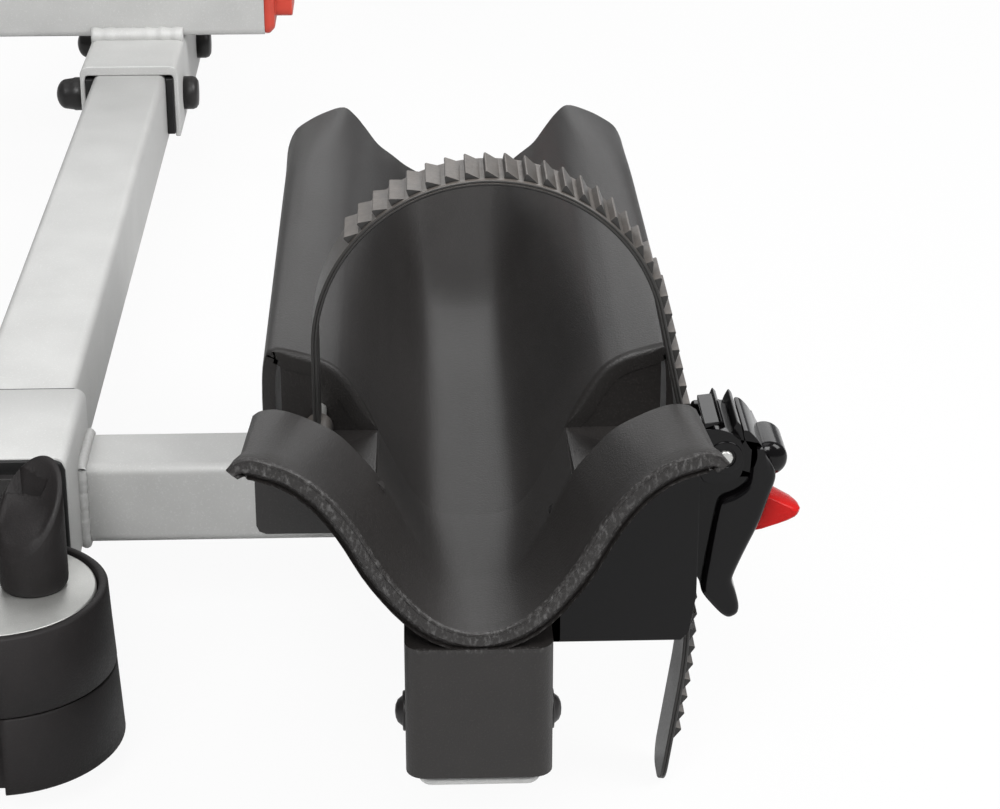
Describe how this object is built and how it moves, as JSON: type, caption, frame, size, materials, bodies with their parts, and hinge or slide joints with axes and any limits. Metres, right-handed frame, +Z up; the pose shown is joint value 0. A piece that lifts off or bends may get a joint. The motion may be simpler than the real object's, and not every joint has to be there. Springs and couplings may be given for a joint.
{
  "type": "hitch bike rack",
  "caption": "Tilting hitch bike rack: sliding arms with moulded wheel trays, ladder straps with ratchet buckles, and a folding mast with frame hooks.",
  "frame": {"origin": "centre of the hitch pin hole in the shank", "axes": "+X rearward along the beam, +Y across the vehicle along the pin hole, +Z up"},
  "size_m": [0.7805, 1.4372, 0.8578],
  "materials": {
    "steel_silver": "satin silver powder coat, fine grain",
    "zinc": "bright zinc plate",
    "black_steel": "black semi-gloss paint",
    "red_cap": "moulded red plastic",
    "liner_black": "moulded black plastic",
    "tray_black": "fine-grained moulding, slight sheen",
    "strap_black": "soft moulding, slight sheen",
    "buckle_black": "gloss black",
    "tab_red": "satin red",
    "foot_rubber": "dull black rubber"
  },
  "bodies": {
    "hitch": {"hitch_shank": "steel_silver", "tilt_plates": "steel_silver", "tilt_bolt": "zinc"},
    "tilt_lever": {"tilt_lever": "black_steel"},
    "beam": {"hitch_beam": "steel_silver", "beam_cap": "red_cap", "arm_socket": "steel_silver", "socket_liners": "liner_black", "socket_bolts": "black_steel", "arm_near": "steel_silver", "arm_far": "steel_silver", "foot_brackets": "black_steel", "foot_discs": "zinc", "foot_rings": "foot_rubber", "foot_posts": "foot_rubber", "mast_base": "steel_silver", "mast_bolt": "zinc"},
    "mast": {"mast": "steel_silver", "mast_cap": "liner_black"},
    "hook_front": {"hook_arm_front": "steel_silver", "hook_pad_front": "foot_rubber"},
    "hook_knob_front": {"hook_knob_front": "liner_black"},
    "hook_rear": {"hook_arm_rear": "steel_silver", "hook_pad_rear": "foot_rubber"},
    "hook_knob_rear": {"hook_knob_rear": "liner_black"},
    "carriage_near": {"collar_near": "steel_silver", "collar_bushes_near": "liner_black", "crossbars_near": "steel_silver", "rails_near": "steel_silver", "tray_pins_near": "zinc", "tray_near_outer": "tray_black", "strap_near_outer": "strap_black", "buckle_base_near_outer": "buckle_black", "tray_near_inner": "tray_black", "strap_near_inner": "strap_black", "buckle_base_near_inner": "buckle_black"},
    "collar_knob_near": {"collar_knob_near": "liner_black"},
    "carriage_far": {"collar_far": "steel_silver", "collar_bushes_far": "liner_black", "crossbars_far": "steel_silver", "rails_far": "steel_silver", "tray_pins_far": "zinc", "tray_far_outer": "tray_black", "strap_far_outer": "strap_black", "buckle_base_far_outer": "buckle_black", "tray_far_inner": "tray_black", "strap_far_inner": "strap_black", "buckle_base_far_inner": "buckle_black"},
    "collar_knob_far": {"collar_knob_far": "liner_black"},
    "lever_near_outer": {"buckle_lever_near_outer": "buckle_black"},
    "tab_near_outer": {"release_tab_near_outer": "tab_red"},
    "lever_near_inner": {"buckle_lever_near_inner": "buckle_black"},
    "tab_near_inner": {"release_tab_near_inner": "tab_red"},
    "lever_far_outer": {"buckle_lever_far_outer": "buckle_black"},
    "tab_far_outer": {"release_tab_far_outer": "tab_red"},
    "lever_far_inner": {"buckle_lever_far_inner": "buckle_black"},
    "tab_far_inner": {"release_tab_far_inner": "tab_red"}
  },
  "joints": [
    {"name": "rack_tilt", "type": "hinge", "parent": "hitch", "child": "beam", "pos_m": [0.188, 0, 0], "axis": [0, 1, 0], "range_deg": [-90, 35]},
    {"name": "tilt_clamp", "type": "hinge", "parent": "hitch", "child": "tilt_lever", "pos_m": [0.188, 0, 0], "axis": [0, 1, 0], "range_deg": [-75, 40]},
    {"name": "mast_fold", "type": "hinge", "parent": "beam", "child": "mast", "pos_m": [0.43, 0, 0.062], "axis": [0, 1, 0], "range_deg": [0, 90]},
    {"name": "hook_slide_front", "type": "slide", "parent": "mast", "child": "hook_front", "axis": [0, 0, 1], "range_m": [-0.025, 0.175]},
    {"name": "hook_knob_turn_front", "type": "hinge", "parent": "hook_front", "child": "hook_knob_front", "pos_m": [0.43, -0.03, 0.52], "axis": [0, -1, 0], "continuous": true},
    {"name": "hook_slide_rear", "type": "slide", "parent": "mast", "child": "hook_rear", "axis": [0, 0, 1], "range_m": [-0.27, 0.025]},
    {"name": "hook_knob_turn_rear", "type": "hinge", "parent": "hook_rear", "child": "hook_knob_rear", "pos_m": [0.43, -0.03, 0.43], "axis": [0, -1, 0], "continuous": true},
    {"name": "carriage_slide_near", "type": "slide", "parent": "beam", "child": "carriage_near", "axis": [0, 1, 0], "range_m": [0, 0.1]},
    {"name": "collar_knob_turn_near", "type": "hinge", "parent": "carriage_near", "child": "collar_knob_near", "pos_m": [0.43, -0.5475, -0.09], "axis": [0, 0, -1], "continuous": true},
    {"name": "carriage_slide_far", "type": "slide", "parent": "beam", "child": "carriage_far", "axis": [0, -1, 0], "range_m": [0, 0.1]},
    {"name": "collar_knob_turn_far", "type": "hinge", "parent": "carriage_far", "child": "collar_knob_far", "pos_m": [0.43, 0.5475, -0.09], "axis": [0, 0, -1], "continuous": true},
    {"name": "lever_turn_near_outer", "type": "hinge", "parent": "carriage_near", "child": "lever_near_outer", "pos_m": [0.677, -0.652, 0.0137], "axis": [0, -1, 0], "range_deg": [0, 52]},
    {"name": "tab_press_near_outer", "type": "hinge", "parent": "lever_near_outer", "child": "tab_near_outer", "pos_m": [0.6868, -0.652, -0.009], "axis": [0, -1, 0], "range_deg": [-10, 0], "stiffness_Nm_per_rad": 0.2},
    {"name": "lever_turn_near_inner", "type": "hinge", "parent": "carriage_near", "child": "lever_near_inner", "pos_m": [0.3424, -0.652, 0.0137], "axis": [0, -1, 0], "range_deg": [0, 52]},
    {"name": "tab_press_near_inner", "type": "hinge", "parent": "lever_near_inner", "child": "tab_near_inner", "pos_m": [0.3522, -0.652, -0.009], "axis": [0, -1, 0], "range_deg": [-10, 0], "stiffness_Nm_per_rad": 0.2},
    {"name": "lever_turn_far_outer", "type": "hinge", "parent": "carriage_far", "child": "lever_far_outer", "pos_m": [0.5176, 0.652, 0.0137], "axis": [0, 1, 0], "range_deg": [0, 52]},
    {"name": "tab_press_far_outer", "type": "hinge", "parent": "lever_far_outer", "child": "tab_far_outer", "pos_m": [0.5078, 0.652, -0.009], "axis": [0, 1, 0], "range_deg": [-10, 0], "stiffness_Nm_per_rad": 0.2},
    {"name": "lever_turn_far_inner", "type": "hinge", "parent": "carriage_far", "child": "lever_far_inner", "pos_m": [0.183, 0.652, 0.0137], "axis": [0, 1, 0], "range_deg": [0, 52]},
    {"name": "tab_press_far_inner", "type": "hinge", "parent": "lever_far_inner", "child": "tab_far_inner", "pos_m": [0.1732, 0.652, -0.009], "axis": [0, 1, 0], "range_deg": [-10, 0], "stiffness_Nm_per_rad": 0.2}
  ]
}
